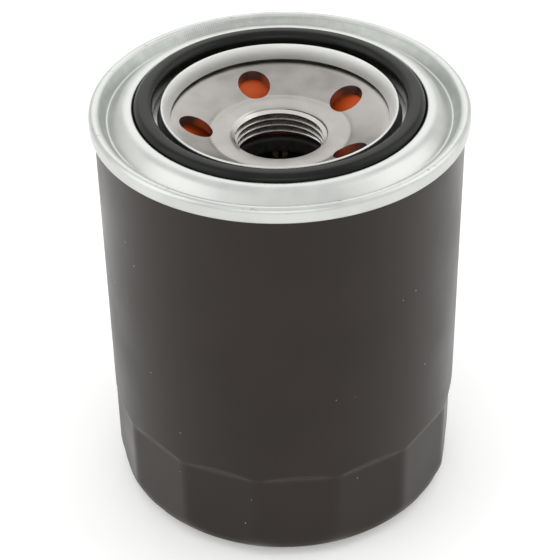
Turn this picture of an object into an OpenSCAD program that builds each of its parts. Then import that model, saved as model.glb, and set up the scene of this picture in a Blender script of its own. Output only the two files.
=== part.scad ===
// Spin-on oil filter: a seamed steel can with a screw-on tapping plate, a pleated paper
// element, a drain-back valve under the inlet holes and a bypass valve at the closed end.
// Millimetres. +Z is the thread's axis, towards the engine. The origin is the middle of the
// base that the filter stands on.

/* [Overall] */
// Diameter over the rolled seam
seam_d = 80; // [76:0.5:100]
// Height from the base to the top of the rolled seam
body_h = 95; // [75:0.5:140]

/* [Can] */
// Thickness of the can's sheet
can_t = 0.4; // [0.35:0.05:0.6]
// Radius of the corner between the can's wall and its base
corner_r = 6; // [4:0.5:8]
// Number of wrench flats
flats = 14; // [12:1:16]
// Depth of a flat's middle below the round wall
flat_depth = 0.9; // [0.6:0.05:0.95]
// Height of the wrench flats above the base
flats_h = 22.8; // [15:0.1:30]
// Height of the slope from the flats up to the round wall
shoulder_h = 2.2; // [1.5:0.1:4]
// Angle of the flats' first corner, from -Y towards +X
flats_phase = -9.2; // [-13:0.1:13]
// Depth of the recess pressed into the base
recess_h = 2.5; // [1:0.1:4]
// Radius at which the flat foot ring of the base begins
foot_r = 24; // [20:0.5:26]

/* [Rolled seam] */
// Height of the seam's outer band
seam_h = 3.4; // [3:0.1:4]
// Gap that the sealing compound fills between the can and the retainer
compound_t = 0.15; // [0.1:0.05:0.25]

/* [Gasket retainer] */
// Thickness of the retainer's sheet
lid_t = 0.55; // [0.5:0.05:0.8]
// Width of the trough between the seam and the gasket's land
trough_w = 4.65; // [4.4:0.05:6]
// Width of the slope from the seam down into the trough
chuck_w = 1; // [0.8:0.1:1.6]
// Width of the slope from the trough up to the gasket's land
rise_w = 2.8; // [1.4:0.05:2.8]
// Depth of the trough below the seam's top
trough_depth = 2.5; // [1.5:0.1:2.7]
// Width of the raised land outside the gasket
land_w = 2.5; // [1.8:0.1:3]
// Height of the raised land above the seam's top
land_rise = 0.3; // [0:0.1:0.6]
// Depth of the gasket's groove below the seam's top
groove_depth = 3; // [2.8:0.1:4]
// Free width beside the gasket in its groove, on the inner side
groove_gap = 1.65; // [0.8:0.05:2]
// Radial width of the ridge that closes the groove on its inner side
ridge_w = 2; // [1.9:0.1:3]

/* [Gasket] */
// Radial width of the gasket
gasket_w = 3.9; // [3.3:0.1:5]
// Height of the gasket above the seam's top
gasket_rise = 1.4; // [0.8:0.1:2.5]
// Radius of the gasket's top edges
gasket_round = 1.45; // [0.5:0.05:1.5]

/* [Tapping plate] */
// Thickness of the plate
plate_t = 2.4; // [2:0.1:3.2]
// Nominal diameter of the thread
thread_d = 20; // [16:0.5:24]
// Pitch of the thread
thread_pitch = 1.5; // [1:0.25:1.5]
// Length of the thread and its lead-in
hub_h = 6.6; // [5:0.05:10]
// Thickness of the hub outside the thread
hub_wall = 2.6; // [2:0.1:3.5]
// How far the plate falls from its rim to the hub's step
dish_drop = 3.1; // [1:0.1:3.5]
// Number of inlet holes
inlets = 5; // [4:1:6]
// Diameter of an inlet hole
inlet_d = 7; // [5:0.1:8.4]
// Direction of the first inlet hole, from +X towards +Y
inlet_phase = 36; // [0:1:71]
// Number of weld nuggets between the retainer and the plate
welds = 8; // [6:1:12]

/* [Drain-back valve] */
// Thickness of the silicone
valve_t = 1.3; // [1:0.1:1.6]
// Width of the lip that seals on the plate, outside the dish
lip_w = 1.6; // [1:0.1:2.5]

/* [Filter element] */
// Diameter of the element's end caps
element_d = 68.6; // [64:0.1:70]
// Thickness of the end caps' sheet
cap_t = 0.6; // [0.5:0.05:0.8]
// Height of the end caps' skirts
skirt_h = 4.1; // [3:0.1:6]
// Thickness of the adhesive in each end cap
adhesive_t = 1.8; // [1:0.1:3]
// Number of pleats in the paper
pleats = 44; // [30:1:48]
// Thickness of the paper
paper_t = 0.6; // [0.4:0.05:0.7]
// Outer diameter of the perforated centre tube
tube_d = 30; // [28:0.5:34]
// Thickness of the centre tube's sheet
tube_t = 0.5; // [0.4:0.05:0.8]
// Diameter of the centre tube's holes
tube_hole_d = 4; // [3:0.1:5]
// Spacing of the centre tube's rows of holes
tube_row = 7; // [6:0.5:12]

/* [Bypass valve] */
// Diameter of the bypass port
port_d = 11; // [9:0.5:12]
// Diameter of the bypass valve's cage
cage_d = 20.4; // [19.6:0.2:23]
// Thickness of the cage's and the seat's sheet
cage_t = 0.6; // [0.5:0.05:0.8]
// How far the poppet opens
poppet_travel = 4; // [2:0.1:4.5]
// Diameter of the poppet's guide stem
stem_d = 3; // [2.5:0.1:4]
// Diameter of the bypass spring's wire
wire_d = 0.9; // [0.7:0.05:1]
// Turns in the bypass spring
spring_turns = 5.5; // [4:0.5:6]

/* [Element spring] */
// Height of the leaf spring under the element
leaf_h = 8.7; // [8:0.1:12]
// Thickness of the leaf spring's sheet
leaf_t = 0.8; // [0.6:0.05:1]
// Number of the leaf spring's legs
legs = 4; // [3:1:5]
// Width of a leg
leg_w = 9; // [6:0.5:11]

/* [Hidden] */
$fn = 96;

fit = 0.05;          // gap between pieces pressed or seamed together
groove_play = 0.2;   // gap between the gasket and its groove's outer wall
seal_gap = 0.02;     // gap where a closed valve meets its seat
running_gap = 0.08;  // radial clearance of the poppet's stem in its guide
weld_t = 0.1;        // stand-off that the weld nuggets leave under the retainer
bend_steps = 5;      // straight steps in a bend of sheet
ring_cut = 0.01;     // how far a cutter runs past what it cuts

// Radii of the seam and the retainer, from the outside inwards
seam_r = seam_d / 2;
can_r = seam_r - lid_t - fit - can_t;
seam_round = lid_t + fit + can_t;
trough_bend = 0.5 * (trough_w - chuck_w - rise_w);
chuck_r = can_r - can_t - compound_t - lid_t;
land_out_r = chuck_r - trough_w;
groove_out_r = land_out_r - land_w;
gasket_out_r = groove_out_r - groove_play;
gasket_in_r = gasket_out_r - gasket_w;
ridge_out_r = gasket_in_r - groove_gap;
lip_in_r = ridge_out_r - ridge_w;

// Heights of the seam, the retainer and the plate
land_z = body_h + land_rise;
trough_z = body_h - trough_depth;
groove_z = body_h - groove_depth;
ridge_z = body_h - 0.1;
plate_top = groove_z - lid_t - weld_t;
plate_bottom = plate_top - plate_t;

// Tapping plate: dish, hub and bore. The bore's wall is at the thread's major diameter.
bore_r = thread_d / 2;
lead_in = thread_pitch / 3;
hub_r = bore_r + hub_wall;
step_r = hub_r + 2.2;
dish_r = lip_in_r - 0.4;
inlet_ring_r = step_r + inlet_d / 2 - 0.6;
dish_low = plate_top - dish_drop;
step_drop = 0.3;
hub_fall = 0.6;
plate_gap = 0.9;
hub_rim_z = dish_low - step_drop - hub_fall;
hub_end = hub_rim_z - hub_h;
plate_r = can_r - can_t - plate_gap;

// Stack of the element, from the can's floor up to the hub's end
seat_bottom = can_t + leaf_h;
seat_top = seat_bottom + cage_t;
flange_top = seat_top + cage_t;
washer_t = 0.8;
low_cap_bottom = flange_top + washer_t;
low_cap_top = low_cap_bottom + cap_t;
high_cap_top = hub_end - valve_t;
high_cap_bottom = high_cap_top - cap_t;
media_low = low_cap_top + adhesive_t;
media_high = high_cap_bottom - adhesive_t;

// Radii of the element
cap_r = element_d / 2;
media_out_r = cap_r - cap_t - 0.5;
tube_r = tube_d / 2;
media_in_r = tube_r + 0.5;
neck_r = bore_r + 0.6;

// Bypass valve
cage_r = cage_d / 2;
flange_r = cage_r + 4.3;
poppet_r = port_d / 2 + 2.6;
poppet_t = 0.8;
poppet_seal_t = 1;
boss_r = 3;
spring_spare = 0.4;
poppet_low = seat_top + seal_gap + poppet_seal_t;
poppet_high = poppet_low + poppet_t;
spring_shut_h = (spring_turns + 1) * wire_d;
cage_top = poppet_high + spring_shut_h + spring_spare + poppet_travel + cage_t;
spring_low = poppet_high + seal_gap;
spring_high = cage_top - cage_t - seal_gap;
spring_r = boss_r + 1.4;
stem_top = cage_top + 1;

// Colours
black_paint = [0.19, 0.175, 0.17];
zinc = [0.8, 0.82, 0.8];
bare_steel = [0.62, 0.6, 0.58];
tinned_steel = [0.72, 0.71, 0.66];
spring_steel = [0.36, 0.37, 0.4];
black_rubber = [0.1, 0.095, 0.09];
orange_silicone = [0.82, 0.25, 0.09];
paper_yellow = [0.86, 0.75, 0.47];
adhesive_brown = [0.55, 0.4, 0.24];
compound_grey = [0.5, 0.52, 0.5];

// ---- Profiles: points are [radius, height] ----

function unit(v) = v / norm(v);
function left_of(v) = [-v[1], v[0]];
function last(list) = list[len(list) - 1];
function reversed(list) = [for (i = [len(list) - 1 : -1 : 0]) list[i]];

// Points of an arc about c from angle a0 to angle a1
function arc(c, r, a0, a1, steps = bend_steps) =
    [for (i = [0 : steps]) let (a = a0 + (a1 - a0) * i / steps) c + r * [cos(a), sin(a)]];

// The corner b between a and c, rounded to radius r
function bend(a, b, c, r) =
    let (
        u = unit(a - b),
        v = unit(c - b),
        half = acos(u * v) / 2,
        o = b + unit(u + v) * r / sin(half),
        from = b + u * r / tan(half) - o,
        to = b + v * r / tan(half) - o,
        a0 = atan2(from[1], from[0]),
        turn = atan2(to[1], to[0]) - a0,
        sweep = turn > 180 ? turn - 360 : turn < -180 ? turn + 360 : turn
    )
    arc(o, r, a0, a0 + sweep);

// A path whose corners are rounded: corners are [radius, height, bend radius]
function rounded(corners) =
    let (p = [for (c = corners) [c[0], c[1]]])
    [for (i = [0 : len(p) - 1])
        each i == 0 || i == len(p) - 1 || corners[i][2] == 0
            ? [p[i]] : bend(p[i - 1], p[i], p[i + 1], corners[i][2])];

// The same path moved to its left by t
function moved_left(p, t) =
    [for (i = [0 : len(p) - 1])
        let (
            before = left_of(unit(p[max(i, 1)] - p[max(i, 1) - 1])),
            after = left_of(unit(p[min(i, len(p) - 2) + 1] - p[min(i, len(p) - 2)]))
        )
        p[i] + (before + after) * t / (1 + before * after)];

// Outline of a sheet of thickness t that lies on the left of a rounded path
function sheet(corners, t) =
    let (p = rounded(corners)) concat(p, reversed(moved_left(p, t)));

module turned(points) rotate_extrude() polygon(points);

module tube(r_out, r_in, low, high)
    translate([0, 0, low]) difference() {
        cylinder(r = r_out, h = high - low);
        translate([0, 0, -ring_cut]) cylinder(r = r_in, h = high - low + 2 * ring_cut);
    }

module around(count, phase = 0)
    for (i = [0 : count - 1]) rotate([0, 0, phase + i * 360 / count]) children();

// ---- Can ----

// Outline of the can's body, moved inwards by d
function can_outline(d, top) =
    let (slope = d * (sqrt(2) - 1))
    concat(
        [[0, recess_h + d], [foot_r - recess_h + slope, recess_h + d], [foot_r + slope, d]],
        arc([can_r - corner_r, corner_r], corner_r - d, -90, 0, 8),
        [[can_r - d, top], [0, top]]
    );

// The material outside the wrench flats, whose faces stand at radius flat_r
module flat_cutters(flat_r)
    around(flats, flats_phase + 180 / flats - 90)
        rotate([90, 0, 0])
            linear_extrude(can_r, center = true)
                polygon([[flat_r, -1], [flat_r, flats_h],
                    [flat_r + 2 * flat_depth, flats_h + 2 * shoulder_h],
                    [1.5 * can_r, flats_h + 2 * shoulder_h], [1.5 * can_r, -1]]);

module can_body(d, top)
    difference() {
        turned(can_outline(d, top));
        flat_cutters(can_r - flat_depth - d);
    }

module canister() {
    wall_top = body_h - lid_t - fit;
    color(black_paint) union() {
        difference() {
            can_body(0, wall_top);
            can_body(can_t, wall_top + 1);
        }
        turned(rounded([
            [can_r - can_t / 2, body_h - seam_h + lid_t + fit, 0],
            [can_r + can_t, body_h - seam_h + lid_t + fit, 0],
            [can_r + can_t, wall_top, can_t],
            [can_r - can_t / 2, wall_top, 0],
        ]));
    }
}

// ---- Seam, retainer and gasket ----

module gasket_retainer()
    color(zinc) turned(sheet([
        [can_r + fit, body_h - seam_h, 0],
        [seam_r, body_h - seam_h, lid_t + 0.1],
        [seam_r, body_h, seam_round],
        [chuck_r, body_h, 1],
        [chuck_r - chuck_w, trough_z, trough_bend],
        [land_out_r + rise_w, trough_z, trough_bend],
        [land_out_r, land_z, 1],
        [groove_out_r, land_z, 0.8],
        [groove_out_r, groove_z, 0.3],
        [ridge_out_r + 0.4, groove_z, 0.5],
        [ridge_out_r, ridge_z, lid_t + 0.05],
        [ridge_out_r - 1.15, ridge_z, lid_t + 0.05],
        [lip_in_r, groove_z + 0.05, 0],
    ], lid_t));

// A bead in the corner between the can's wall and the underside of the retainer's slope
module seam_compound() {
    wall_r = can_r - can_t - fit;
    slope = chuck_w / trough_depth;
    under_r = chuck_r + lid_t * sqrt(1 + slope * slope) + fit;
    high = lid_t * 1.6;
    low = trough_depth * 0.7;
    color(compound_grey) turned([
        [wall_r, body_h - high],
        [wall_r, body_h - low],
        [under_r - slope * low, body_h - low],
        [under_r - slope * high, body_h - high],
    ]);
}

module sealing_gasket()
    color(black_rubber) turned(concat(
        rounded([[(gasket_in_r + gasket_out_r) / 2, groove_z, 0],
            [gasket_out_r, groove_z, 0.4],
            [gasket_out_r, body_h + gasket_rise, gasket_round],
            [gasket_in_r, body_h + gasket_rise, gasket_round],
            [gasket_in_r, groove_z, 0.4],
            [(gasket_in_r + gasket_out_r) / 2 - ring_cut, groove_z, 0]])
    ));

// ---- Tapping plate ----

module tapping_plate()
    color(bare_steel) difference() {
        turned(concat(
            [[plate_r, plate_bottom], [plate_r, plate_top]],
            rounded([[plate_r - 0.5, plate_top, 0],
                [dish_r, plate_top, 2],
                [step_r + 0.35, dish_low, 0.6],
                [step_r - 0.15, dish_low - step_drop, 0.5],
                [bore_r, hub_rim_z, 0.9],
                [bore_r, hub_end + lead_in, 0]]),
            rounded([[bore_r + lead_in, hub_end, 0],
                [hub_r, hub_end, 0.4],
                [hub_r, dish_low - step_drop - plate_t, 1.2],
                [step_r + 0.2, dish_low - plate_t, 1.2],
                [dish_r - 0.4, plate_bottom, 2],
                [plate_r - 0.5, plate_bottom, 0]])
        ));
        around(inlets, inlet_phase)
            translate([inlet_ring_r, 0, hub_end]) cylinder(d = inlet_d, h = body_h, $fn = 48);
    }

module weld_nuggets()
    color(bare_steel) around(welds, 180 / welds)
        translate([(groove_out_r + ridge_out_r) / 2, 0, plate_top])
            cylinder(r = 1.5, h = weld_t, $fn = 32);

// ---- Drain-back valve ----

module drainback_valve() {
    lip_low = plate_bottom - seal_gap - valve_t * 0.7;
    sleeve_r = hub_r + fit + valve_t;
    sleeve_top = high_cap_top + valve_t * 3.5;
    color(orange_silicone) turned(rounded([
        [hub_r - 0.6, high_cap_top, 0],
        [sleeve_r, high_cap_top, 0.5],
        [dish_r + 0.4, lip_low, 2],
        [dish_r + lip_w, lip_low + 0.2, 0.3],
        [dish_r + lip_w, plate_bottom - seal_gap, 0.3],
        [dish_r + 0.2, plate_bottom - seal_gap, 0.6],
        [sleeve_r, high_cap_top + valve_t * 1.5, 0.5],
        [sleeve_r, sleeve_top, 0.4],
        [hub_r + fit, sleeve_top, 0],
        [hub_r + fit, hub_end - seal_gap, 0],
        [hub_r - 0.6, hub_end - seal_gap, 0],
    ]));
}

// ---- Filter element ----

// One end cap: its flat is at z = 0 to cap_t and its skirt and neck point up
module end_cap(hole_r, neck_h)
    turned(sheet([
        [hole_r, neck_h, 0],
        [hole_r, 0, cap_t + 0.2],
        [cap_r, 0, cap_t + 0.2],
        [cap_r, skirt_h, 0],
    ], cap_t));

module element_top_cap()
    color(tinned_steel) translate([0, 0, high_cap_top]) mirror([0, 0, 1]) end_cap(neck_r, 3.5);

module element_bottom_cap()
    color(tinned_steel) translate([0, 0, low_cap_bottom]) end_cap(cage_r + 0.2, 2.2);

module adhesive_ring(low)
    tube(cap_r - cap_t - fit, tube_r + fit, low, low + adhesive_t);

module top_cap_adhesive() color(adhesive_brown) adhesive_ring(media_high);

module bottom_cap_adhesive() color(adhesive_brown) adhesive_ring(low_cap_top);

// One boundary of the pleated paper: tip_r and root_r are the radii of its folds,
// tip_w and root_w the half widths of the folds
function pleat_boundary(tip_r, root_r, tip_w, root_w) =
    let (pitch = 360 / pleats, turn = 180 / PI)
    [for (i = [0 : pleats - 1]) let (a = i * pitch)
        each [for (f = [[tip_r, a - tip_w / tip_r * turn], [tip_r, a + tip_w / tip_r * turn],
                [root_r, a + pitch / 2 - root_w / root_r * turn],
                [root_r, a + pitch / 2 + root_w / root_r * turn]])
            f[0] * [cos(f[1]), sin(f[1])]]];

module pleated_media()
    color(paper_yellow) translate([0, 0, media_low])
        linear_extrude(media_high - media_low) difference() {
            polygon(pleat_boundary(media_out_r, media_in_r + paper_t, paper_t, 0.08));
            polygon(pleat_boundary(media_out_r - paper_t, media_in_r, 0.08, paper_t));
        }

module media_seam_clip() {
    inner_w = paper_t + 0.2;
    clip_t = 0.3;
    clip_depth = 3;
    color(tinned_steel) translate([0, 0, media_low + fit])
        linear_extrude(media_high - media_low - 2 * fit)
            polygon([for (s = [-1, 1]) each let (
                arm = [[media_out_r - clip_depth, inner_w], [media_out_r + fit, inner_w],
                    [media_out_r + fit + clip_t, inner_w + clip_t],
                    [media_out_r - clip_depth, inner_w + clip_t]],
                side = s < 0
                    ? [arm[1], arm[0], arm[3], arm[2]]
                    : [arm[2], arm[3], arm[0], arm[1]]
            ) [for (q = side) [q[0], q[1] * s]]]);
}

module centre_tube() {
    length = high_cap_bottom - low_cap_top;
    rows = floor((length - 2 * adhesive_t - tube_hole_d) / tube_row);
    holes = 8;
    color(tinned_steel) difference() {
        tube(tube_r, tube_r - tube_t, low_cap_top, high_cap_bottom);
        for (row = [0 : rows])
            translate([0, 0, low_cap_top + length / 2 + (row - rows / 2) * tube_row])
                for (i = [0 : holes / 2 - 1])
                    rotate([90, 0, (i + (row % 2) / 2) * 360 / holes])
                        cylinder(d = tube_hole_d, h = 2 * tube_d, center = true, $fn = 24);
    }
}

// ---- Bypass valve ----

module bypass_cage() {
    windows = 4;
    window_w = 9;
    color(tinned_steel) difference() {
        turned(sheet([
            [stem_d / 2 + running_gap, cage_top, 0],
            [cage_r, cage_top, cage_t + 0.4],
            [cage_r, flange_top, 0.5],
            [flange_r, flange_top, 0],
        ], -cage_t));
        around(windows)
            translate([cage_r - 3, -window_w / 2, flange_top + 2.6])
                cube([6, window_w, cage_top - flange_top - 5]);
    }
}

module bypass_washer()
    color(black_rubber) tube(flange_r, cage_r + 1.6, flange_top, low_cap_bottom);

module bypass_seat()
    color(tinned_steel) tube(flange_r, port_d / 2, seat_bottom, seat_top);

module bypass_poppet()
    color(tinned_steel) turned([
        [0, seat_top + 0.3],
        [boss_r - 0.2, seat_top + 0.3],
        [boss_r, poppet_low],
        [poppet_r, poppet_low],
        [poppet_r, poppet_high],
        [boss_r, poppet_high],
        [boss_r - 0.3, poppet_high + 1.2],
        [stem_d / 2, poppet_high + 1.6],
        [stem_d / 2, stem_top - 0.4],
        [stem_d / 2 - 0.4, stem_top],
        [0, stem_top],
    ]);

module bypass_seal()
    color(black_rubber)
        tube(poppet_r, boss_r + fit, seat_top + seal_gap, poppet_low);

// The spring's wire is swept along its helix, with closer turns at both ends
module bypass_spring() {
    sides = 8;
    per_turn = 20;
    rings = round(spring_turns * per_turn);
    closing = 0.4;
    low = spring_low + wire_d / 2;
    rise = spring_high - spring_low - wire_d;
    points = [for (i = [0 : rings], k = [0 : sides - 1])
        let (
            s = i / rings,
            a = s * spring_turns * 360,
            w = k * 360 / sides,
            r = spring_r + wire_d / 2 * cos(w)
        )
        [r * cos(a), r * sin(a),
            low + rise * (s - closing * sin(360 * s) / (2 * PI)) + wire_d / 2 * sin(w)]];
    skin = [for (i = [0 : rings - 1], k = [0 : sides - 1])
        let (n = (k + 1) % sides)
        [i * sides + k, i * sides + n, (i + 1) * sides + n, (i + 1) * sides + k]];
    ends = [[for (k = [sides - 1 : -1 : 0]) k], [for (k = [0 : sides - 1]) rings * sides + k]];
    color(spring_steel) polyhedron(points, concat(skin, ends));
}

// ---- Element spring ----

// A pressed disc with bent legs: the ring carries the element and the feet stand on the can's floor
module element_spring() {
    ring_out_r = flange_r - 0.5;
    ring_in_r = cage_r - 0.5;
    foot_mid_r = foot_r + 4;
    foot_top = can_t + fit + leaf_t;
    color(spring_steel) intersection() {
        turned(sheet([
            [ring_in_r, seat_bottom, 0],
            [ring_out_r + 1.2, seat_bottom, leaf_t + 0.6],
            [foot_mid_r - 1, foot_top, 0.8],
            [foot_mid_r + 1.5, foot_top, 0.8],
            [foot_mid_r + 3, foot_top + 0.7, 0],
        ], -leaf_t));
        linear_extrude(seat_bottom + 1) union() {
            circle(ring_out_r);
            around(legs, 180 / legs) translate([0, -leg_w / 2]) square([can_r, leg_w]);
        }
    }
}

canister();
gasket_retainer();
seam_compound();
sealing_gasket();
tapping_plate();
weld_nuggets();
drainback_valve();
element_top_cap();
top_cap_adhesive();
pleated_media();
media_seam_clip();
centre_tube();
bottom_cap_adhesive();
element_bottom_cap();
bypass_cage();
bypass_washer();
bypass_seat();
bypass_spring();
bypass_poppet();
bypass_seal();
element_spring();
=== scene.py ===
# %% [markdown]
# # A spin-on oil filter
# A filter like this is a drawn steel can, closed by a thick threaded plate and a thin plated
# lid that is rolled over the can's edge. Behind the plate's five inlet holes lies a silicone
# valve, and a pleated paper element stands below it.
# The measured CAD model is loaded as a fixed frame. Pieces that need softer bends, real
# threads or moving rubber are made here and stand for their CAD nodes. All others keep their
# CAD shape and get a finish.
# %% Load the frame
import math
import bmesh
import bpy
from mathutils import Matrix, Vector


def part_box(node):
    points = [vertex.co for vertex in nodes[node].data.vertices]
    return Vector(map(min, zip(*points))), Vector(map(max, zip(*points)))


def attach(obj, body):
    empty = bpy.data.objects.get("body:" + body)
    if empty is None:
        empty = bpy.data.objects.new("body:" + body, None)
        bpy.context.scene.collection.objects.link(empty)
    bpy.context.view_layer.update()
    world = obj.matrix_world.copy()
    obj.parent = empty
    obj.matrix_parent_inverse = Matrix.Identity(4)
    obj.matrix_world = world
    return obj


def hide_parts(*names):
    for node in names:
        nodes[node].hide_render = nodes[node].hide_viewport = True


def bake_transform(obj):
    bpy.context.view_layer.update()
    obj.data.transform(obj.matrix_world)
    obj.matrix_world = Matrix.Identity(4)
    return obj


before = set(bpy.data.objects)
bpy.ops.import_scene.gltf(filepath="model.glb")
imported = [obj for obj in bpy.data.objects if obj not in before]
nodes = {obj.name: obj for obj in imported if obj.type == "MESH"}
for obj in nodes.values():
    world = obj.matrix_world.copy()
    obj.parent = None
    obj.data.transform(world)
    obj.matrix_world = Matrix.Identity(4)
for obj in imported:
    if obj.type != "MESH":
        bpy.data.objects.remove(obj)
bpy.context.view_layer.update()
print("CAD nodes:", len(nodes))

# %% [markdown]
# ## Sizes
# Every new piece takes its place from the CAD nodes' boxes, so it can't drift away from them.
# What a box can't tell, such as the depth of a groove, is a named value in millimetres.
# %% Sizes from the frame
MM = 0.001
hem_stand_off = 0.15
gasket_width = 3.9
groove_depth = 3.0


def top_of(node):
    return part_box(node)[1].z / MM


def bottom_of(node):
    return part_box(node)[0].z / MM


def radius_of(node):
    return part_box(node)[1].x / MM


seam_r = radius_of("gasket_retainer")
seam_low = bottom_of("gasket_retainer") + hem_stand_off
gasket_r = radius_of("sealing_gasket")
gasket_in = gasket_r - gasket_width
gasket_top = top_of("sealing_gasket")
groove_floor = bottom_of("sealing_gasket")
rim_top = groove_floor + groove_depth
plate_top = top_of("tapping_plate")
hub_end = bottom_of("tapping_plate")
valve_low = bottom_of("drainback_valve")
valve_top = top_of("drainback_valve")
print("seam radius", round(seam_r, 2), "rim top", round(rim_top, 2))
print("plate top", round(plate_top, 2), "hub end", round(hub_end, 2))

# %% [markdown]
# ## Camera
# The filter is seen from in front and above, with a long lens, so its sides hardly converge.
# A camera looks along its own -Z axis. Its right and up axes are turned a little about that
# line, because the view leans by just under one degree.
# %% Camera
elevation = math.radians(36.82)
lean = math.radians(0.975)
aim = Vector((-0.00054, 0, 0.04848))
distance = 0.4044
forward = Vector((0, math.cos(elevation), -math.sin(elevation)))
upward = Vector((0, math.sin(elevation), math.cos(elevation)))
axes = Matrix((Vector((1, 0, 0)), upward, -forward)).transposed()
camera_data = bpy.data.cameras.new("camera")
camera_data.lens = 115.86
camera_data.sensor_width = 36
camera = bpy.data.objects.new("camera", camera_data)
camera.matrix_world = (
    Matrix.Translation(aim - distance * forward)
    @ Matrix.Rotation(lean, 4, forward)
    @ axes.to_4x4()
)
bpy.context.scene.collection.objects.link(camera)
bpy.context.scene.camera = camera
print("camera at", [round(v, 4) for v in camera.matrix_world.translation])

# %% [markdown]
# ## Helpers for round sheet-metal parts
# Almost every part of a filter is round. Each one starts as a side profile: a chain of
# corners, each with a radius, a height and the length that its bend takes from the lines
# beside it. The corners are rounded with a vertex bevel, and the chain is spun round the axis.
# A sheet is an open chain that gets its thickness from a Solidify modifier. A moulding is a
# closed chain.
# %% Helpers
AROUND = 224
BEND_STEPS = 6
MERGE_DISTANCE = 0.002


def add_object(name, bm, smooth_angle=35):
    mesh = bpy.data.meshes.new(name)
    bm.to_mesh(mesh)
    bm.free()
    mesh.shade_smooth()
    mesh.set_sharp_from_angle(angle=math.radians(smooth_angle))
    piece = bpy.data.objects.new(name, mesh)
    bpy.context.scene.collection.objects.link(piece)
    print(name, "has", len(mesh.polygons), "faces")
    return piece


def profile(bm, corners, closed):
    chain = [bm.verts.new((r * MM, 0, z * MM)) for r, z, _ in corners]
    for pair in zip(chain, chain[1:]):
        bm.edges.new(pair)
    if closed:
        bm.edges.new((chain[-1], chain[0]))
    for vert, (_, _, bend) in zip(chain, corners):
        if bend:
            bmesh.ops.bevel(bm, geom=[vert], offset=bend * MM, offset_type="OFFSET",
                            affect="VERTICES", segments=BEND_STEPS, profile=0.5,
                            material=-1)


def turned(corners, closed=False, around=AROUND):
    bm = bmesh.new()
    profile(bm, corners, closed)
    bmesh.ops.spin(bm, geom=bm.verts[:] + bm.edges[:], cent=(0, 0, 0), axis=(0, 0, 1),
                   angle=2 * math.pi, steps=around, use_merge=True)
    bmesh.ops.remove_doubles(bm, verts=bm.verts, dist=MERGE_DISTANCE * MM)
    bmesh.ops.recalc_face_normals(bm, faces=bm.faces)
    return bm


def show_outside(bm, end):
    """Turns an open sheet so that its highest face looks up (end=1) or its lowest down (end=-1)."""
    face = max(bm.faces, key=lambda face: face.calc_center_median().z * end)
    if face.normal.z * end < 0:
        bmesh.ops.reverse_faces(bm, faces=bm.faces)


def thicken(piece, thickness):
    wall = piece.modifiers.new("wall", "SOLIDIFY")
    wall.thickness = thickness * MM
    wall.offset = -1
    wall.use_even_offset = True


def stand_for(piece, node, body="filter_body"):
    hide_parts(node)
    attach(piece, body)


print("round parts get", AROUND, "steps around")

# %% [markdown]
# ## The can
# A filter's can is drawn from one disc of thin steel. Fourteen flats are then pressed in near
# its closed end for a cup wrench. They could be cut with a boolean, but a cut leaves knife
# edges that sheet steel never has. Here the round can is spun first, and the points near the
# closed end are pressed inwards to the flats, with a soft blend at each edge.
# %% Can
can_t = 0.4
can_r = radius_of("canister") - can_t
can_top = top_of("canister")
corner = 6.0
recess = 2.5
recess_r = 20.2
foot_r = 23.6
hem_h = 2.1
flats = 14
flat_depth = 0.9
flats_top = 22.8
shoulder = 2.6
shoulder_dip = 0.4
shoulder_rows = 6
first_corner = math.radians(-90 - 9.2)
edge_softness = 0.12


def soft_step(x):
    x = min(max(x, 0), 1)
    return x * x * (3 - 2 * x)


def soft_min(a, b, k):
    h = max(k - abs(a - b), 0) / k
    return min(a, b) - h * h * k / 4


def press_flats(bm):
    step = 2 * math.pi / flats
    for vert in bm.verts:
        r = vert.co.xy.length / MM
        z = vert.co.z / MM
        if r < corner or z > flats_top + shoulder:
            continue
        angle = (math.atan2(vert.co.y, vert.co.x) - first_corner) % step - step / 2
        rise = soft_step((z - flats_top + shoulder_dip) / shoulder)
        flat_r = can_r - flat_depth + rise * (flat_depth + edge_softness)
        pressed = soft_min(r, flat_r / math.cos(angle), edge_softness)
        vert.co.xy *= pressed / r


def can_corners():
    foot = [(0, recess, 0), (recess_r, recess, 1.6), (foot_r, 0, 1.2), (can_r, 0, corner)]
    wall = [(can_r, z, 0) for z in (6.5, 12, 18, 21.6)]
    blend_rows = [(can_r, flats_top - shoulder_dip + row / shoulder_rows * shoulder, 0)
                  for row in range(shoulder_rows + 1)]
    hem = [(can_r, 30, 0), (can_r, 60, 0), (can_r, can_top, 0.05),
           (can_r + can_t, can_top, 0.35), (can_r + can_t, can_top - hem_h, 0)]
    return foot + wall + blend_rows + hem


can_bm = turned(can_corners())
show_outside(can_bm, -1)
press_flats(can_bm)
can = add_object("can_shell", can_bm, 50)
thicken(can, can_t)
stand_for(can, "canister")

# %% [markdown]
# ## The lid and its rolled seam
# The lid is thin plated sheet: rolled over the can's edge, dipped into a trough, raised again
# round the gasket, folded into the gasket's groove and up into the inner ridge, where its cut
# edge rests over the threaded plate. It is one open chain of corners, so every bend is named.
# %% Lid
lid_t = 0.55
rim_width = 2.1
trough_depth = 2.5
trough_wall_run = 1.6
trough_slope_run = 2.7
land_width = 2.5
gasket_play = 0.2
groove_gap = 1.65
ridge_width = 2
fold_width = 0.45
land_z = top_of("gasket_retainer")
trough_z = rim_top - trough_depth
rim_in = seam_r - rim_width
groove_r = gasket_r + gasket_play
land_r = groove_r + land_width
ridge_r = gasket_in - groove_gap
ridge_z = rim_top - 0.1
lid_lip_r = ridge_r - ridge_width

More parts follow.
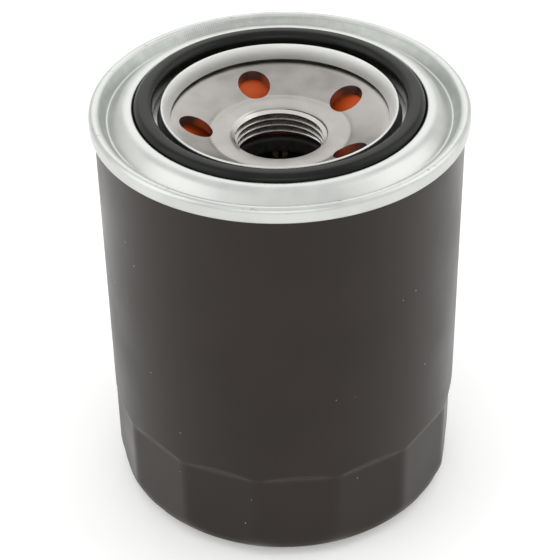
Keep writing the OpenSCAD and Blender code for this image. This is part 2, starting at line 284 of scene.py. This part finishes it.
lid_bm = turned([
    (can_r + 0.05, seam_low, 0),
    (seam_r, seam_low, 0.6),
    (seam_r, rim_top, 1.1),
    (rim_in, rim_top, 1.3),
    (rim_in - trough_wall_run, trough_z, 0.17),
    (land_r + trough_slope_run, trough_z + 0.1, 0.17),
    (land_r - 0.2, land_z, 1.3),
    (groove_r, land_z, 0.55),
    (groove_r, groove_floor, 0.3),
    (ridge_r + 0.4, groove_floor, 0.45),
    (ridge_r, ridge_z, 0.3),
    (ridge_r - fold_width, ridge_z, 0.2),
    (lid_lip_r, groove_floor + 0.05, 0),
])
show_outside(lid_bm, 1)
lid = add_object("seam_lid", lid_bm, 50)
thicken(lid, lid_t)
stand_for(lid, "gasket_retainer")

# %% [markdown]
# ## The gasket
# The gasket is moulded nitrile rubber with a round crown. A closed chain is spun, so that it
# is solid, and its crown is two large bends with a narrow flat between them.
# %% Gasket
foot_bend = 0.4
crown_bend = 1.6
gasket_bm = turned([
    (gasket_in, groove_floor, foot_bend),
    (gasket_r, groove_floor, foot_bend),
    (gasket_r, gasket_top, crown_bend),
    (gasket_in, gasket_top, crown_bend),
], closed=True)
gasket = add_object("gasket_ring", gasket_bm, 60)
stand_for(gasket, "sealing_gasket")

# %% [markdown]
# ## The threaded plate
# The plate is thick pressed steel: flat under the lid, dished inwards, with a shallow step
# before the threaded hub. It could be spun with its holes left out and the holes cut later in
# the render only, but then their rims would be sharp. The holes are cut with a boolean, and a
# Bevel modifier then rolls each rim, as a punch does.
# %% Threaded plate
plate_r = radius_of("tapping_plate")
plate_t = 2.4
bore_r = 10.0
hub_r = 12.6
step_r = 14.8
dish_drop = 3.1
dish_r = lid_lip_r - 0.4
dish_low = plate_top - dish_drop
step_low = dish_low - 0.3
hub_rim = step_low - 0.6
lead_in = 0.5
inlets = 5
inlet_r = 3.5
inlet_ring = step_r + inlet_r - 0.6
inlet_phase = math.radians(36)
cutter_h = 12

plate_bm = turned([
    (plate_r, plate_top - plate_t, 0),
    (plate_r, plate_top, 0.2),
    (dish_r, plate_top, 1.2),
    (step_r + 0.7, dish_low, 0.5),
    (step_r - 0.1, step_low - 0.15, 0.4),
    (bore_r + 2.5, step_low - 0.2, 1.0),
    (bore_r, hub_rim, 0.3),
    (bore_r, hub_end + lead_in, 0),
    (bore_r + lead_in, hub_end, 0),
    (hub_r, hub_end, 0.3),
    (hub_r, step_low - plate_t, 0.9),
    (step_r + 0.2, dish_low - plate_t, 0.3),
    (dish_r - 0.4, plate_top - plate_t, 1.2),
], closed=True)
plate = add_object("threaded_plate", plate_bm, 40)

cutter_bm = bmesh.new()
for hole in range(inlets):
    angle = inlet_phase + hole * 2 * math.pi / inlets
    place = Vector((inlet_ring * math.cos(angle), inlet_ring * math.sin(angle), dish_low)) * MM
    bmesh.ops.create_cone(cutter_bm, cap_ends=True, segments=64, radius1=inlet_r * MM,
                          radius2=inlet_r * MM, depth=cutter_h * MM,
                          matrix=Matrix.Translation(place))
cutter = add_object("inlet_cutter", cutter_bm)


def shape_with(piece, make_modifiers):
    """Applies modifiers to the piece's mesh, so that later ones work on a finished shape."""
    make_modifiers(piece)
    graph = bpy.context.evaluated_depsgraph_get()
    shaped = bpy.data.meshes.new_from_object(piece.evaluated_get(graph))
    piece.modifiers.clear()
    old = piece.data
    piece.data = shaped
    bpy.data.meshes.remove(old)


def cut_inlets(piece):
    cut = piece.modifiers.new("inlets", "BOOLEAN")
    cut.object = cutter
    cut.operation = "DIFFERENCE"
    cut.solver = "EXACT"


shape_with(plate, cut_inlets)
bpy.data.objects.remove(cutter)
rims = plate.modifiers.new("rolled rims", "BEVEL")
rim_roll = 0.3
rims.width = rim_roll * MM
rims.segments = 3
rims.limit_method = "ANGLE"
rims.angle_limit = math.radians(50)
rims.harden_normals = True
stand_for(plate, "tapping_plate")
print("inlet holes:", inlets, "on a circle of", 2 * inlet_ring, "mm")

# %% [markdown]
# ## The thread
# An internal M20x1.5 thread is a ridge that winds down the bore: 60 degrees between its
# flanks, a flat crest and a narrow root. A bump map would fake it from afar but not in
# profile, so the ridge's cross-section is spun with a rise at every step, which makes a helix.
# At both ends the ridge sinks into the wall, as a tap's lead leaves it.
# %% Thread
pitch = 1.5
thread_depth = 0.5413 * pitch
crest_r = bore_r - thread_depth
base_half = pitch * 7 / 16
crest_half = pitch / 8
per_turn = 90
runout_turns = 0.2
thread_low = hub_end + 0.1
turns = 3.6
buried = 0.5
flank_rise = buried * math.tan(math.radians(30))
thread_bm = bmesh.new()
section = [(bore_r + buried, -base_half - flank_rise), (crest_r, -crest_half),
           (crest_r, crest_half), (bore_r + buried, base_half + flank_rise)]
loop = [thread_bm.verts.new((r * MM, 0, (thread_low + base_half + z) * MM)) for r, z in section]
ring = [thread_bm.edges.new(pair) for pair in zip(loop, loop[1:] + loop[:1])]
steps = round(turns * per_turn)
bmesh.ops.spin(thread_bm, geom=loop + ring, cent=(0, 0, 0), axis=(0, 0, 1),
               dvec=(0, 0, pitch / per_turn * MM), angle=2 * math.pi * turns, steps=steps,
               use_merge=False)
thread_bm.verts.ensure_lookup_table()
for index, vert in enumerate(thread_bm.verts):
    along = (index // len(section)) / steps
    runout = min(along, 1 - along) * turns / runout_turns
    r = vert.co.xy.length
    if runout < 1 and r < bore_r * MM:
        vert.co.xy *= (bore_r * MM + (r - bore_r * MM) * runout) / r
bmesh.ops.holes_fill(thread_bm, edges=thread_bm.edges, sides=4)
bmesh.ops.recalc_face_normals(thread_bm, faces=thread_bm.faces)
thread = add_object("thread_ridge", thread_bm, 25)
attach(thread, "filter_body")
print("thread: pitch", pitch, "mm,", turns, "turns, crest radius", round(crest_r, 3), "mm")

# %% [markdown]
# ## The drain-back valve
# The orange silicone moulding has a collar on the hub and a thin cone that reaches up to the
# plate. Oil pushes the cone's lip down, and the collar stays.
# %% Drain-back valve
valve_t = 1.3
fit = 0.05
flange_r = hub_r - 0.3
flange_z = hub_end - 0.02
lip_r = radius_of("drainback_valve")
sleeve_r = hub_r + fit + valve_t
sleeve_top = valve_low + 3.5 * valve_t
lip_low = valve_top - 0.7 * valve_t
valve_bm = turned([
    (flange_r, valve_low, 0.1),
    (sleeve_r, valve_low, 0.3),
    (dish_r + 0.4, lip_low, 0.8),
    (lip_r, lip_low + 0.2, 0.25),
    (lip_r, valve_top, 0.25),
    (dish_r + 0.2, valve_top, 0.4),
    (sleeve_r, valve_low + 1.5 * valve_t, 0.6),
    (sleeve_r, sleeve_top, 0.3),
    (hub_r + fit, sleeve_top, 0.1),
    (hub_r + fit, flange_z, 0),
    (flange_r, flange_z, 0.1),
], closed=True)
valve = add_object("silicone_valve", valve_bm, 60)
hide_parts("drainback_valve")
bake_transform(valve)

# %% [markdown]
# ## The bypass spring
# A coil spring changes its length as the poppet lifts. Its wire is a circle spun along a
# helix, and its two ends lie nearly flat.
# %% Bypass spring
wire_r = 0.45
spring_low = bottom_of("bypass_spring")
spring_high = top_of("bypass_spring")
coil_r = radius_of("bypass_spring") - wire_r
coil_turns = 5.5
per_coil = 40
wire_sides = 12
end_flatness = 0.4
coil_bm = bmesh.new()
wire_end = Matrix.Translation(Vector((coil_r, 0, spring_low + wire_r)) * MM)
bmesh.ops.create_circle(coil_bm, cap_ends=True, segments=wire_sides, radius=wire_r * MM,
                        matrix=wire_end @ Matrix.Rotation(math.pi / 2, 4, "X"))
coil_steps = round(coil_turns * per_coil)
bmesh.ops.spin(coil_bm, geom=coil_bm.faces[:], cent=(0, 0, 0), axis=(0, 0, 1), dvec=(0, 0, 0),
               angle=2 * math.pi * coil_turns, steps=coil_steps, use_merge=False)
coil_bm.verts.ensure_lookup_table()
rise = spring_high - spring_low - 2 * wire_r
for index, vert in enumerate(coil_bm.verts):
    along = (index // wire_sides) / coil_steps
    eased = along - end_flatness * math.sin(2 * math.pi * along) / (2 * math.pi)
    vert.co.z += rise * eased * MM
bmesh.ops.recalc_face_normals(coil_bm, faces=coil_bm.faces)
coil = add_object("coil_spring", coil_bm, 60)
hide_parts("bypass_spring")
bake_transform(coil)

# %% [markdown]
# ## Finishes
# Each finish is one material. It starts from a Principled shader, whose fixed numbers are set
# on its own sockets, and a few patterns of noise then vary its colour, roughness and bumps.
# The patterns read Object coordinates, which are metres here, so a scale of 1000 gives spots
# about a millimetre wide.
# %% Material helpers
class Finish:
    def __init__(self, name, colour, metallic, roughness):
        self.material = bpy.data.materials.new(name)
        self.material.use_nodes = True
        self.tree = self.material.node_tree
        self.shader = self.tree.nodes["Principled BSDF"]
        self.shader.inputs["Base Color"].default_value = (*colour, 1)
        self.shader.inputs["Metallic"].default_value = metallic
        self.shader.inputs["Roughness"].default_value = roughness
        self.place = self.add("ShaderNodeTexCoord").outputs["Object"]

    def add(self, kind, **values):
        node = self.tree.nodes.new(kind)
        for key, value in values.items():
            setattr(node, key, value)
        return node

    def link(self, source, target):
        self.tree.links.new(source, target)

    def noise(self, scale, detail=4, stretch=(1, 1, 1)):
        mapping = self.add("ShaderNodeMapping")
        mapping.inputs["Scale"].default_value = stretch
        self.link(self.place, mapping.inputs["Vector"])
        noise = self.add("ShaderNodeTexNoise")
        noise.inputs["Scale"].default_value = scale
        noise.inputs["Detail"].default_value = detail
        self.link(mapping.outputs["Vector"], noise.inputs["Vector"])
        return noise.outputs["Fac"]

    def math(self, operation, a, b=None):
        node = self.add("ShaderNodeMath", operation=operation)
        for socket, value in zip(node.inputs, (a, b)):
            if isinstance(value, (int, float)):
                socket.default_value = value
            elif value is not None:
                self.link(value, socket)
        return node.outputs["Value"]

    def spread(self, factor, from_low, from_high, to_low, to_high):
        node = self.add("ShaderNodeMapRange", interpolation_type="SMOOTHSTEP")
        for socket, value in zip(node.inputs[1:5], (from_low, from_high, to_low, to_high)):
            socket.default_value = value
        self.link(factor, node.inputs["Value"])
        return node.outputs["Result"]

    def mix(self, factor, first, second):
        node = self.add("ShaderNodeMix", data_type="RGBA")
        self.link(factor, node.inputs["Factor"])
        for socket, value in zip((node.inputs[6], node.inputs[7]), (first, second)):
            if isinstance(value, tuple):
                socket.default_value = (*value, 1)
            else:
                self.link(value, socket)
        return node.outputs[2]

    def rough_from(self, factor, low, high):
        self.link(self.spread(factor, 0.3, 0.7, low, high), self.shader.inputs["Roughness"])

    def colour_from(self, socket):
        self.link(socket, self.shader.inputs["Base Color"])

    def mottled(self, factor, contrast, dark, light):
        """A colour that wanders between two near tones where the factor crosses a half."""
        tone = self.spread(factor, 0.5 - contrast, 0.5 + contrast, 0, 1)
        return self.mix(tone, dark, light)

    def bump_from(self, height, strength, depth_mm):
        bump = self.add("ShaderNodeBump")
        bump.inputs["Strength"].default_value = strength
        bump.inputs["Distance"].default_value = depth_mm * MM
        self.link(height, bump.inputs["Height"])
        self.link(bump.outputs["Normal"], self.shader.inputs["Normal"])

    def polar(self):
        """Angle round the axis, and radius in mm, of the point being shaded."""
        xyz = self.add("ShaderNodeSeparateXYZ")
        self.link(self.place, xyz.inputs["Vector"])
        x, y = xyz.outputs[:2]
        angle = self.math("ARCTAN2", y, x)
        squares = self.math("ADD", self.math("MULTIPLY", x, x), self.math("MULTIPLY", y, y))
        radius = self.math("MULTIPLY", self.math("SQRT", squares), 1 / MM)
        return angle, radius

    def window(self, value, low, high, soft):
        """1 between low and high, fading to 0 over soft on each side."""
        up = self.spread(value, low - soft, low, 0, 1)
        down = self.spread(value, high, high + soft, 1, 0)
        return self.math("MULTIPLY", up, down)


def put(finish, *pieces):
    for piece in pieces:
        piece.data.materials.clear()
        piece.data.materials.append(finish.material)
    print(finish.material.name, "on", ", ".join(piece.name for piece in pieces))


# %% [markdown]
# ### Black paint
# Baked satin paint on steel shows a faint orange-peel, a warm brown cast in strong light, and
# the odd speck of dust.
# %% Black paint
paint = Finish("black_paint", (0.02, 0.015, 0.0105), 0, 0.36)
paint.shader.inputs["Specular IOR Level"].default_value = 0.29
paint.shader.inputs["Specular Tint"].default_value = (1, 0.92, 0.86, 1)
peel = paint.noise(700, 3)
cloud = paint.noise(60, 4)
speck = paint.add("ShaderNodeTexVoronoi", feature="F1")
speck_scale = 260
speck_size = 0.045
share_with_dust = 0.42
speck.inputs["Scale"].default_value = speck_scale
paint.link(paint.place, speck.inputs["Vector"])
grain = paint.math("LESS_THAN", speck.outputs["Distance"], speck_size)
rare = paint.math("LESS_THAN", paint.noise(90, 1), share_with_dust)
dust = paint.math("MULTIPLY", grain, rare)
base = paint.mottled(cloud, 0.15, (0.0100, 0.0068, 0.0054), (0.0130, 0.0090, 0.0072))
paint.colour_from(paint.mix(dust, base, (0.3, 0.285, 0.27)))
paint.rough_from(cloud, 0.30, 0.38)
paint.bump_from(peel, 0.12, 0.02)
put(paint, can)

# %% [markdown]
# ### Bright zinc
# Zinc plate is pale, a little cloudy, and softer than chrome. The roller that closes the seam
# leaves fine upright marks on the slope inside it, and that slope is darkened with painted shade.
# The ridge's inner slope is left matte by the die and lightened with a painted highlight, and the
# seam's crest is scuffed where filters rub together in their box.
# %% Bright zinc
zinc = Finish("bright_zinc", (0.72, 0.735, 0.72), 1, 0.36)
cloud = zinc.noise(120, 6)
fine = zinc.noise(1600, 3)
bright = zinc.mottled(cloud, 0.2, (0.53, 0.545, 0.525), (0.60, 0.615, 0.59))
angle, radius = zinc.polar()
# The ridge's inner slope gets a paler colour here: a painted highlight for the light that it
# catches.
ridge_flank_painted_light = zinc.window(radius, lid_lip_r - 1, ridge_r - 0.5, 0.2)
bright = zinc.mix(ridge_flank_painted_light, bright, (0.80, 0.81, 0.79))
sheen = zinc.spread(cloud, 0.3, 0.7, 0.30, 0.40)
matte = zinc.math("MULTIPLY", ridge_flank_painted_light, 0.3)
zinc.link(zinc.math("ADD", sheen, matte), zinc.shader.inputs["Roughness"])

# %% Roller marks, painted shade and scuffs
tick_count = 460
wobble = zinc.math("MULTIPLY", zinc.noise(60, 2), 9)
ticks = zinc.math("SINE", zinc.math("ADD", zinc.math("MULTIPLY", angle, tick_count), wobble))
slope = zinc.window(radius, seam_r - 3.4, seam_r - 2.3, 0.35)
marks = zinc.math("MULTIPLY", zinc.math("MULTIPLY", ticks, slope), 0.9)
# The slope inside the seam is darkened here, unevenly by noise: painted shade of the trough's wall.
wall_painted_shade = zinc.math("MULTIPLY", slope, zinc.spread(zinc.noise(350, 5), 0.2, 0.6, 0.55, 0.95))
crest = zinc.window(radius, seam_r - 1.7, seam_r - 0.5, 0.3)
rub = zinc.spread(zinc.noise(420, 5, (1, 3, 1)), 0.62, 0.7, 0, 0.7)
scuff = zinc.math("MULTIPLY", crest, rub)
painted_shade_colour = zinc.mix(wall_painted_shade, bright, (0.38, 0.395, 0.375))
zinc.colour_from(zinc.mix(scuff, painted_shade_colour, (0.33, 0.33, 0.30)))
zinc.bump_from(zinc.math("ADD", marks, zinc.math("MULTIPLY", fine, 0.35)), 0.35, 0.05)
put(zinc, lid)

# %% [markdown]
# ### Bare pressed steel
# The plate is not plated. It is a warm grey with a fine mottle and a soft shine.
# %% Bare steel
steel = Finish("pressed_steel", (0.42, 0.405, 0.39), 1, 0.33)
cloud = steel.noise(150, 6)
fine = steel.noise(2200, 2)
steel.colour_from(steel.mottled(cloud, 0.2, (0.31, 0.295, 0.278), (0.40, 0.383, 0.363)))
steel.rough_from(cloud, 0.28, 0.4)
steel.bump_from(fine, 0.15, 0.02)
put(steel, plate, nodes["weld_nuggets"])

cut_steel = Finish("cut_thread", (0.62, 0.6, 0.58), 1, 0.28)
cut_steel.rough_from(cut_steel.noise(500, 2, (1, 1, 6)), 0.26, 0.32)
put(cut_steel, thread)

# %% [markdown]
# ### Rubbers
# Nitrile is near black with an oily sheen. Silicone lets a little light in, so its shader
# scatters light under the surface.
# %% Rubbers
nitrile = Finish("nitrile", (0.018, 0.017, 0.016), 0, 0.36)
bloom = nitrile.noise(200, 4)
nitrile.colour_from(
    nitrile.mottled(bloom, 0.15, (0.004, 0.0036, 0.0033), (0.007, 0.0064, 0.006)))
nitrile.rough_from(bloom, 0.22, 0.32)
nitrile.shader.inputs["Specular IOR Level"].default_value = 0.22
nitrile.bump_from(nitrile.noise(1500, 2), 0.1, 0.02)
put(nitrile, gasket, nodes["bypass_washer"], nodes["bypass_seal"])

silicone = Finish("orange_silicone", (0.56, 0.075, 0.018), 0, 0.5)
silicone.shader.inputs["Specular IOR Level"].default_value = 0.3
silicone.shader.inputs["Subsurface Weight"].default_value = 0.3
silicone.shader.inputs["Subsurface Radius"].default_value = (0.0012, 0.0004, 0.0002)
haze = silicone.noise(160, 3)
silicone.colour_from(silicone.mottled(haze, 0.2, (0.62, 0.085, 0.01), (0.72, 0.11, 0.014)))
silicone.bump_from(silicone.noise(900, 2), 0.1, 0.02)
put(silicone, valve)

# %% [markdown]
# ### Finishes inside
# The bottom cap and the valve parts are tinplate. The top cap, the tube and the cage are painted
# near black as painted shade, which keeps the bore black. The paper is soaked in a yellow resin,
# and the paste that holds it cures to a dull brown.
# %% Inner finishes
tin = Finish("tinplate", (0.6, 0.59, 0.55), 1, 0.3)
streak = tin.noise(500, 4, (1, 1, 0.1))
tin.colour_from(tin.mottled(streak, 0.2, (0.55, 0.54, 0.5), (0.66, 0.65, 0.61)))
tin.rough_from(streak, 0.24, 0.36)
tin.bump_from(streak, 0.1, 0.02)
put(tin, *[nodes[name] for name in (
    "element_bottom_cap", "media_seam_clip", "bypass_seat", "bypass_poppet")])

# Near-black painted shade for the parts seen deep in the bore, with a faint random mottle.
bore_painted_shade = Finish("painted_shade_dark", (0.03, 0.029, 0.027), 0.3, 0.6)
shade_mottle = bore_painted_shade.noise(1200, 4)
bore_painted_shade.colour_from(
    bore_painted_shade.mottled(shade_mottle, 0.15, (0.018, 0.017, 0.016), (0.036, 0.034, 0.031)))
bore_painted_shade.rough_from(shade_mottle, 0.5, 0.7)
bore_painted_shade.bump_from(shade_mottle, 0.2, 0.03)
put(bore_painted_shade, nodes["element_top_cap"], nodes["centre_tube"], nodes["bypass_cage"])

wire = Finish("spring_wire", (0.2, 0.2, 0.215), 1, 0.35)
blue = wire.noise(220, 4)
wire.colour_from(wire.mottled(blue, 0.15, (0.16, 0.165, 0.185), (0.25, 0.24, 0.24)))
wire.rough_from(blue, 0.28, 0.42)
put(wire, coil, nodes["element_spring"])

paper = Finish("filter_paper", (0.72, 0.53, 0.2), 0, 0.85)
fibre = paper.noise(1800, 8, (1, 1, 0.4))
paper.colour_from(paper.mottled(fibre, 0.15, (0.30, 0.21, 0.08), (0.42, 0.30, 0.12)))
paper.bump_from(fibre, 0.4, 0.08)
put(paper, nodes["pleated_media"])

paste = Finish("cured_paste", (0.27, 0.14, 0.06), 0, 0.55)
lumps = paste.noise(300, 4)
paste.colour_from(paste.mottled(lumps, 0.2, (0.22, 0.11, 0.045), (0.33, 0.18, 0.08)))
paste.bump_from(lumps, 0.3, 0.15)
put(paste, nodes["top_cap_adhesive"], nodes["bottom_cap_adhesive"])

sealant = Finish("seam_sealant", (0.22, 0.235, 0.22), 0, 0.6)
film = sealant.noise(400, 3)
sealant.colour_from(sealant.mottled(film, 0.2, (0.18, 0.195, 0.18), (0.27, 0.285, 0.27)))
sealant.bump_from(film, 0.2, 0.05)
put(sealant, nodes["seam_compound"])
print("materials:", len(bpy.data.materials))

# %% [markdown]
# ## Floor and light
# The filter stands on a plain pale sheet under large soft lights, as in a product studio.
# Big area lights give metal broad, quiet highlights, where small ones would leave hot spots.
# %% Floor and light
floor_bm = bmesh.new()
floor_half = 6
bmesh.ops.create_grid(floor_bm, x_segments=2, y_segments=2, size=floor_half)
floor = add_object("floor", floor_bm)
sheet = Finish("pale_floor", (0.86, 0.86, 0.855), 0, 0.7)
sheet.colour_from(sheet.mix(sheet.noise(3, 2), (0.85, 0.85, 0.845), (0.87, 0.87, 0.865)))
sheet.shader.inputs["Emission Color"].default_value = (1, 1, 1, 1)
sheet.shader.inputs["Emission Strength"].default_value = 0.2
put(sheet, floor)


light_target = Vector((0, 0, 0.06))


def area_light(name, place, size, power):
    data = bpy.data.lights.new(name, "AREA")
    data.shape = "RECTANGLE"
    data.size = size[0]
    data.size_y = size[1]
    data.energy = power
    light = bpy.data.objects.new(name, data)
    towards = light_target - Vector(place)
    light.rotation_euler = towards.to_track_quat("-Z", "Y").to_euler()
    light.location = place
    bpy.context.scene.collection.objects.link(light)
    print(name, "at", place, "gives", power, "W")


area_light("left_softbox", (-0.75, -0.15, 0.55), (0.7, 0.9), 1.6)
area_light("right_softbox", (0.75, 0.1, 0.6), (0.6, 0.9), 1.4)
area_light("back_softbox", (0, 0.8, 0.75), (1.0, 0.6), 1.4)
area_light("front_softbox", (0, -0.95, 0.6), (0.8, 0.3), 1.1)

# %% [markdown]
# ### The studio's walls
# The pale room lights everything evenly. A metal part needs something darker to mirror, so the
# room is dimmer low down in front. A plain colour would leave the metal flat. Rays that come
# straight from the camera always see the pale wall.
# %% Studio walls
world = bpy.data.worlds.new("studio")
world.use_nodes = True
world_tree = world.node_tree
background = world_tree.nodes["Background"]
background.inputs["Strength"].default_value = 0.95
direction = world_tree.nodes.new("ShaderNodeTexCoord")
towards_front = world_tree.nodes.new("ShaderNodeVectorMath")
towards_front.operation = "DOT_PRODUCT"
towards_front.inputs[1].default_value = (0, -0.94, -0.34)
shade = world_tree.nodes.new("ShaderNodeMapRange")
shade.interpolation_type = "SMOOTHSTEP"
shade.inputs["From Min"].default_value = 0.8
shade.inputs["From Max"].default_value = 0.97
shade.inputs["To Min"].default_value = 1
dim_front = 0.25
shade.inputs["To Max"].default_value = dim_front
world_tree.links.new(direction.outputs["Generated"], towards_front.inputs[0])
world_tree.links.new(towards_front.outputs["Value"], shade.inputs["Value"])
seen = world_tree.nodes.new("ShaderNodeLightPath")
pale = world_tree.nodes.new("ShaderNodeMath")
pale.operation = "MAXIMUM"
world_tree.links.new(shade.outputs["Result"], pale.inputs[0])
world_tree.links.new(seen.outputs["Is Camera Ray"], pale.inputs[1])
world_tree.links.new(pale.outputs["Value"], background.inputs["Color"])
bpy.context.scene.world = world
bpy.context.scene.view_settings.view_transform = "Standard"
print("the room is dimmed low down in front to", dim_front, "of its light")
